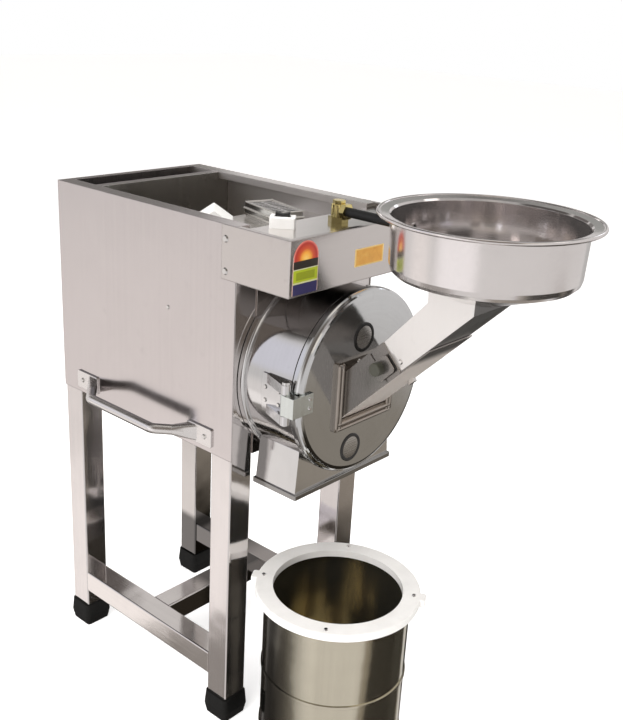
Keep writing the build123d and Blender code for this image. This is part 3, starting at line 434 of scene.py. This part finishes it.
# painted shade: the cross stretcher darkens towards its right end
rung_x = steel("cross_tube", (0.82, 0.785, 0.765), 0.10, "x", 0.04, waves=0.0004, wave_scale=9, stain=0.05, dirt_and_painted_shade=("x", -0.041, -0.004, 0.26))
plate = steel("top_plate", (0.82, 0.79, 0.77), 0.17, "x", 0.04, stain=0.05)
# painted shade: faces of the tray that look to the front are toned darker
tray = steel("tray_sheet", (0.88, 0.855, 0.81), 0.28, "y", 0.06, stain=0.08, painted_face_shading=[((0, -1, 0), 0.7, 0.9, 0.38, 0.28)])
# painted shade: the handle faces that look right and up are toned darker
bar = steel("handle_tube", (0.91, 0.885, 0.87), 0.26, "y", 0.04, stain=0.05, painted_face_shading=[((0.8, 0, 0.6), 0.35, 0.65, 0.22, 0.30)])
drum = steel("drum_shell", (0.72, 0.715, 0.715), 0.075, marks=0.03, waves=0.0005, wave_scale=10, stain=0.06, polar=(0.0, AX))
door = steel("door_shell", (0.71, 0.72, 0.725), 0.10, marks=0.03, waves=0.00035, wave_scale=8, stain=0.06, polar=(0.0, AX))
# painted shade: the outlet duct is darker towards the back, above its foot
duct = steel("duct_sheet", (0.84, 0.835, 0.83), 0.12, "z", 0.04, waves=0.0005, wave_scale=9, stain=0.06, dirt_and_painted_shade=("y", -0.022, -0.014, 0.45, "z", 0.434, 0.444))
# painted shade: the outlet flange is a much darker copy of the duct steel
flange = steel("flange_sheet", (0.40, 0.395, 0.385), 0.16, "x", 0.04, stain=0.05)
bright = steel("frame_bar", (0.36, 0.325, 0.29), 0.20, "x", 0.04, stain=0.05)
beige = steel("frame_rib", (0.46, 0.415, 0.37), 0.33, "x", 0.05, stain=0.06)
hinge = steel("hinge_plate", (0.76, 0.755, 0.755), 0.13, "z", 0.04, stain=0.06)
leaf = steel("hinge_leaf_plate", (0.82, 0.87, 0.85), 0.20, "z", 0.05, stain=0.08)
# painted shade: the underside and back of the chute are toned darker
chute = steel("chute_sheet", (0.96, 0.935, 0.91), 0.34, "z", 0.05, stain=0.03, painted_face_shading=[((0, -0.8, -0.6), 0.5, 0.8, 0.17, 0.30), ((0, 0.7, 0.7), 0.6, 0.85, 0.46, 0.14)], metal=0.88)
# painted light and shade: the underside of the spout is toned lighter but darker at its upper end, and its back and
# left side darker
spout = steel("spout_sheet", (0.64, 0.60, 0.565), 0.18, "z", 0.05, stain=0.06, painted_face_shading=[((0, -0.6, -0.8), 0.6, 0.85, 1.55, 0.60), ((0, -0.6, -0.8), 0.6, 0.85, 0.20, 0.24, "y", -0.222 + YO, -0.248 + YO), ((0, 0.7, 0.7), 0.6, 0.85, 0.46, 0.14), ((-1, 0, 0), 0.7, 0.9, 0.45, 0.24)], metal=0.92)
# painted shade on the inside of the bowl
bowl = steel("bowl_spun", (0.82, 0.785, 0.775), 0.14, "x", 0.04, waves=0.0003, wave_scale=8, stain=0.05, hollow=(0.0, -0.299 + YO, 0.90, 0.055), metal=0.96)
# painted shade: the receiving drum is darker on the side towards the machine; its inside keeps the plain tint
pot = steel("drum_vessel", (0.70, 0.655, 0.53), 0.10, "z", 0.05, waves=0.0004, wave_scale=12, stain=0.08, dirt_and_painted_shade=("y", -0.180, -0.115, 0.14), hollow=(-0.059, -0.143 + YO, 1.0, 0.10), metal=0.975)
screw = steel("screw_heads", (0.80, 0.79, 0.78), 0.14, "x", 0.03, stain=0.05, edge=0.0003)
turned = steel("turned_steel", (0.60, 0.59, 0.58), 0.22, "y", 0.05, stain=0.08)
# the brass darkens towards its foot
brass = steel("brass", (0.90, 0.76, 0.33), 0.09, "z", 0.03, stain=0.14, edge=0.0009, dirt_and_painted_shade=("z", 0.846, 0.830, 0.45))
iron = cast("machined_iron", (0.30, 0.30, 0.31), 0.5)
paint = enamel("motor_enamel", (0.10, 0.15, 0.20), 0.38)
rubber = moulded("rubber", (0.007, 0.007, 0.0065), 0.66, 0.10, 700.0, 0.0001, (0.25, (0.022, 0.020, 0.018)), gloss=0.25)
black = moulded("black_plastic", (0.014, 0.014, 0.014), 0.40, 0.08)
olive = moulded("gate_knob_plastic", (0.055, 0.055, 0.042), 0.38, 0.08)
white = moulded("white_plastic", (0.86, 0.85, 0.83), 0.34, 0.02, dirt=(0.10, (0.64, 0.61, 0.55)))
card = moulded("white_card", (0.86, 0.855, 0.83), 0.55, 0.015, 500.0, 0.00006)
hose = moulded("hose_rubber", (0.010, 0.010, 0.010), 0.42, 0.08, 800.0, gloss=0.35)

finish = {
    panel: ["left_panel"],
    back_sheet: ["back_panel", "rear_top_rail"],
    far_panel: ["right_panel"],
    box_sheet: ["control_box"],
    dark_sheet: ["front_panel"],
    leg: ["leg_front_left", "leg_front_right", "leg_back_left"],
    far_leg: ["leg_back_right"],
    rung_y: ["side_stretchers"],
    rung_x: ["cross_stretcher"],
    plate: ["control_box_top"],
    tray: ["accessory_tray"],
    bar: ["side_handle_left", "side_handle_right"],
    drum: ["chamber_shell"],
    door: ["door_plate"],
    duct: ["outlet_duct"],
    flange: ["outlet_flange"],
    bright: ["inlet_frame"],
    hinge: ["hinge_bracket"],
    leaf: ["hinge_leaf"],
    chute: ["hopper_chute"],
    spout: ["inlet_spout", "feed_gate"],
    bowl: ["hopper_bowl"],
    pot: ["receiving_drum"],
    screw: ["panel_rivets", "handle_screws", "door_screws", "ring_screws", "hinge_pin", "rotor_nut"],
    turned: ["motor_shaft", "chamber_liner", "sieve_screen", "spare_sieves"],
    brass: ["brass_elbow"],
    iron: ["bearing_housing", "beater_disc", "beaters", "grinding_pegs", "motor_rails"],
    paint: ["motor_housing", "motor_end_shields", "fan_cowl", "terminal_box"],
    rubber: ["rubber_feet", "door_gasket"],
    hose: ["water_hose"],
    black: ["clamp_knob", "switch_rocker", "cable_gland", "cooling_fan"],
    olive: ["gate_knob"],
    white: ["switch_enclosure", "receiving_ring"],
    card: ["accessory_box"],
}
for mat, names in finish.items():
    for n in names:
        nodes[n].data.materials.clear()
        nodes[n].data.materials.append(mat)
bare = sorted(set(nodes) - {n for ns in finish.values() for n in ns})
if bare:
    raise RuntimeError("no finish for " + ", ".join(bare))

# ------------------------------------------------------------ added detail
def piece(name, bm, body, mat):
    bmesh.ops.recalc_face_normals(bm, faces=bm.faces)
    for f in bm.faces:
        f.smooth = True
    for e in bm.edges:
        if len(e.link_faces) == 2:
            e.smooth = e.calc_face_angle(0.0) < 0.6
    me = bpy.data.meshes.new(name)
    bm.to_mesh(me)
    bm.free()
    me.materials.append(mat)
    ob = bpy.data.objects.new(name, me)
    scene.collection.objects.link(ob)
    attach(ob, body)
    return ob


class Seat:
    """A place on a face: u and v lie in it, n points out of it; arguments in millimetres."""

    def __init__(self, origin, u, v):
        self.o, self.u, self.v = at(*origin), Vector(u).normalized(), Vector(v).normalized()
        self.n = self.u.cross(self.v)

    def __call__(self, a, b, h=0.0):
        return self.o + (self.u * a + self.v * b + self.n * h) * 0.001


def slab(bm, seat, outline, thick, soft):
    """A thin plate with a softened front edge; the outline runs anticlockwise."""
    ca = sum(a for a, b in outline) / len(outline)
    cb = sum(b for a, b in outline) / len(outline)
    half = max(max(abs(a - ca), abs(b - cb)) for a, b in outline)
    k = 1.0 - soft / half
    rows = [(1.0, 0.0), (1.0, thick - soft), (k, thick)]
    rings = [[bm.verts.new(seat(ca + (a - ca) * q, cb + (b - cb) * q, h)) for a, b in outline] for q, h in rows]
    n = len(outline)
    bm.faces.new(rings[0][::-1])
    for lo, hi in zip(rings, rings[1:]):
        for i in range(n):
            bm.faces.new((lo[i], lo[(i + 1) % n], hi[(i + 1) % n], hi[i]))
    bm.faces.new(rings[-1])


def turned_form(bm, seat, profile, steps=48):
    """A form turned about the seat's normal; the profile starts and ends on the axis."""
    first, last = bm.verts.new(seat(0, 0, profile[0][1])), bm.verts.new(seat(0, 0, profile[-1][1]))
    rings = []
    for r, h in profile[1:-1]:
        rings.append([bm.verts.new(seat(r * math.cos(2 * math.pi * i / steps), r * math.sin(2 * math.pi * i / steps), h)) for i in range(steps)])
    for i in range(steps):
        j = (i + 1) % steps
        bm.faces.new((first, rings[0][i], rings[0][j]))
        for lo, hi in zip(rings, rings[1:]):
            bm.faces.new((lo[i], hi[i], hi[j], lo[j]))
        bm.faces.new((last, rings[-1][j], rings[-1][i]))


def turned_ring(bm, seat, profile, steps=48):
    """A ring turned about the seat's normal; the profile is a closed loop."""
    rings = [[bm.verts.new(seat(r * math.cos(2 * math.pi * i / steps), r * math.sin(2 * math.pi * i / steps), h)) for i in range(steps)] for r, h in profile]
    for lo, hi in zip(rings, rings[1:] + rings[:1]):
        for i in range(steps):
            j = (i + 1) % steps
            bm.faces.new((lo[i], lo[j], hi[j], hi[i]))


def rib(bm, p, q, r, wobble=0.0, steps=14):
    """A round rib from p to q (millimetres) with domed ends; wobble makes it a weld bead."""
    a, b = at(*p), at(*q)
    way = (b - a).normalized()
    side = way.cross(Vector((0.3, 0.5, 0.8))).normalized()
    up = way.cross(side)
    long = (b - a).length * 1000.0
    rows = []
    for k in range(1, 4):
        t = math.radians(30 * k)
        rows.append((r - r * math.cos(t), r * math.sin(t)))
    count = max(2, int((long - 2 * r) / (1.1 if wobble else 20.0)))
    for k in range(1, count):
        d = r + (long - 2 * r) * k / count
        rows.append((d, r * (1.0 + wobble * math.sin(k * 2.1) + 0.5 * wobble * math.sin(k * 0.77 + 1.0))))
    for k in (3, 2, 1):
        t = math.radians(30 * k)
        rows.append((long - r + r * math.cos(t), r * math.sin(t)))
    rings = []
    for d, w in rows:
        c = a + way * d * 0.001
        rings.append([bm.verts.new(c + (side * math.cos(2 * math.pi * i / steps) + up * math.sin(2 * math.pi * i / steps)) * w * 0.001) for i in range(steps)])
    first, last = bm.verts.new(a), bm.verts.new(b)
    for i in range(steps):
        j = (i + 1) % steps
        bm.faces.new((first, rings[0][j], rings[0][i]))
        for lo, hi in zip(rings, rings[1:]):
            bm.faces.new((lo[i], lo[j], hi[j], hi[i]))
        bm.faces.new((last, rings[-1][i], rings[-1][j]))


def band_label():
    """Printed vinyl: a red and orange arch over black, green and navy bands."""
    g = Mat("band_label")
    x, y, z = g.xyz()
    zone = g.ramp(g.span(z, 0.7535, 0.8260), [
        (0.0, (0.028, 0.024, 0.095)), (0.205, (0.55, 0.56, 0.30)), (0.235, (0.40, 0.47, 0.015)),
        (0.470, (0.62, 0.62, 0.42)), (0.485, (0.022, 0.015, 0.010)), (0.640, (0.50, 0.04, 0.02)),
    ], "CONSTANT")
    dx = g.math("ADD", x, 0.122)
    dz = g.math("SUBTRACT", z, 0.8015)
    far = g.math("SQRT", g.math("ADD", g.math("MULTIPLY", dx, dx), g.math("MULTIPLY", dz, dz)))
    glow = g.ramp(g.span(far, 0.0, 0.0265), [
        (0.0, (0.95, 0.62, 0.17)), (0.30, (0.90, 0.42, 0.05)), (0.52, (0.60, 0.08, 0.02)),
        (0.80, (0.42, 0.02, 0.015)), (0.92, (0.78, 0.22, 0.17)),
    ])
    body = g.mix(g.span(z, 0.7996, 0.8002), zone, glow)
    # a darker block inside the green band, and a pale rim
    inside = g.math("MULTIPLY", g.span(g.math("ABSOLUTE", dx), 0.0182, 0.0186, 1.0, 0.0),
                    g.span(g.math("ABSOLUTE", g.math("SUBTRACT", z, 0.7790)), 0.0052, 0.0056, 1.0, 0.0))
    body = g.mix(inside, body, (0.26, 0.30, 0.008))
    body = g.mix(g.span(g.math("ABSOLUTE", dx), 0.0236, 0.0244), body, (0.62, 0.42, 0.36))
    ink = g.noise(1500.0, 2.0, 0.6)
    g.set(Base_Color=g.mix(g.span(ink, 0.35, 0.75, 0.0, 0.16), body, (0.03, 0.025, 0.02)), Metallic=0.0, Coat_Weight=0.35, Coat_Roughness=0.10)
    g.set(Roughness=g.span(ink, 0.3, 0.7, 0.28, 0.42))
    g.set(Normal=g.bump(g.noise(240.0, 2.0, 0.5), 0.0002, 0.15))
    return g.mat


def plain_label():
    """Orange vinyl, a little faded towards its border."""
    g = Mat("plain_label")
    x, y, z = g.xyz()
    ink = g.noise(1300.0, 2.0, 0.6)
    fade = g.noise(60.0, 3.0, 0.6, 0.4)
    body = g.ramp(fade, [(0.25, (0.78, 0.33, 0.03)), (0.55, (0.88, 0.43, 0.05)), (0.8, (0.92, 0.55, 0.10))])
    rim = g.math("MAXIMUM", g.span(g.math("ABSOLUTE", g.math("SUBTRACT", x, 0.013)), 0.0288, 0.0300),
                 g.span(g.math("ABSOLUTE", g.math("SUBTRACT", z, 0.785)), 0.0108, 0.0116))
    body = g.mix(rim, body, (0.95, 0.66, 0.22))
    g.set(Base_Color=g.mix(g.span(ink, 0.35, 0.75, 0.0, 0.14), body, (0.20, 0.08, 0.02)), Metallic=0.0, Coat_Weight=0.3, Coat_Roughness=0.12)
    g.set(Roughness=g.span(ink, 0.3, 0.7, 0.30, 0.45))
    g.set(Normal=g.bump(g.noise(240.0, 2.0, 0.5), 0.0002, 0.15))
    return g.mat


front_of_box = Seat((0, -101, 0), (1, 0, 0), (0, 0, 1))
arch = [(-147, 753.5), (-97, 753.5), (-97, 801)]
arch += [(-122 + 25 * math.cos(math.radians(a)), 801 + 25 * math.sin(math.radians(a))) for a in range(10, 180, 10)]
arch += [(-147, 801)]
bm = bmesh.new()
slab(bm, front_of_box, arch, 0.3, 0.1)
piece("band_sticker", bm, "frame", band_label())


def rounded_box(a0, b0, a1, b1, r, n=5):
    pts = []
    for ca, cb, t0 in ((a1 - r, b0 + r, -90), (a1 - r, b1 - r, 0), (a0 + r, b1 - r, 90), (a0 + r, b0 + r, 180)):
        for k in range(n):
            t = math.radians(t0 + 90.0 * k / (n - 1))
            pts.append((ca + r * math.cos(t), cb + r * math.sin(t)))
    return pts


bm = bmesh.new()
slab(bm, front_of_box, rounded_box(-19, 772, 45, 798, 1.5), 0.3, 0.1)
piece("plain_sticker", bm, "frame", plain_label())

# blank round badges on the door: a dark rim round a satin centre
rim_dark = moulded("badge_rim", (0.020, 0.019, 0.018), 0.35, 0.08)
centre_pale = steel("badge_centre", (0.62, 0.60, 0.57), 0.28, "x", 0.05, stain=0.08, edge=0.0003)
bm_rim, bm_mid = bmesh.new(), bmesh.new()
for x, z, r in ((-21.6, 500.8, 22.0), (-7.2, 671.0, 22.0)):
    seat = Seat((x, -118, z), (1, 0, 0), (0, 0, 1))
    turned_ring(bm_rim, seat, [(r - 5.0, 0.0), (r, 0.0), (r, 0.8), (r - 0.7, 1.5), (r - 4.3, 1.5), (r - 5.0, 0.9)])
    turned_form(bm_mid, seat, [(0, 0.0), (r - 5.05, 0.0), (r - 5.05, 0.7), (r - 9.0, 0.95), (r - 14.0, 1.05), (0, 1.1)])
piece("badge_rims", bm_rim, "door", rim_dark)
piece("badge_centres", bm_mid, "door", centre_pale)

# rolled ribs that stiffen the inlet frame
bm = bmesh.new()
for x in (-62.6, -55.0, 55.0, 62.6):
    rib(bm, (x, -122.0, 541.2), (x, -122.0, 643.0), 3.2)
for z in (541.3, 549.0):
    rib(bm, (-62.5, -122.0, z), (62.5, -122.0, z), 3.2)
piece("inlet_frame_ribs", bm, "door", beige)

# pale wire rims on the spare sieves
wire = steel("wire_rim", (0.86, 0.84, 0.80), 0.30, "y", 0.05, stain=0.06, edge=0.0003)
bm = bmesh.new()
for turn_deg, z, inset in ((-17, 796.6, -0.2), (-13, 804.7, -0.2), (-15, 813.6, 1.4)):
    t = math.radians(turn_deg)
    corner = []
    for a, b in ((-26 + inset, -47.5 + inset), (26 - inset, -47.5 + inset), (26 - inset, 47.5 - inset), (-26 + inset, 47.5 - inset)):
        corner.append((44.5 + a * math.cos(t) - b * math.sin(t), 120 + a * math.sin(t) + b * math.cos(t), z))
    for k in range(4):
        rib(bm, corner[k], corner[(k + 1) % 4], 1.5)
piece("sieve_rims", bm, "frame", wire)
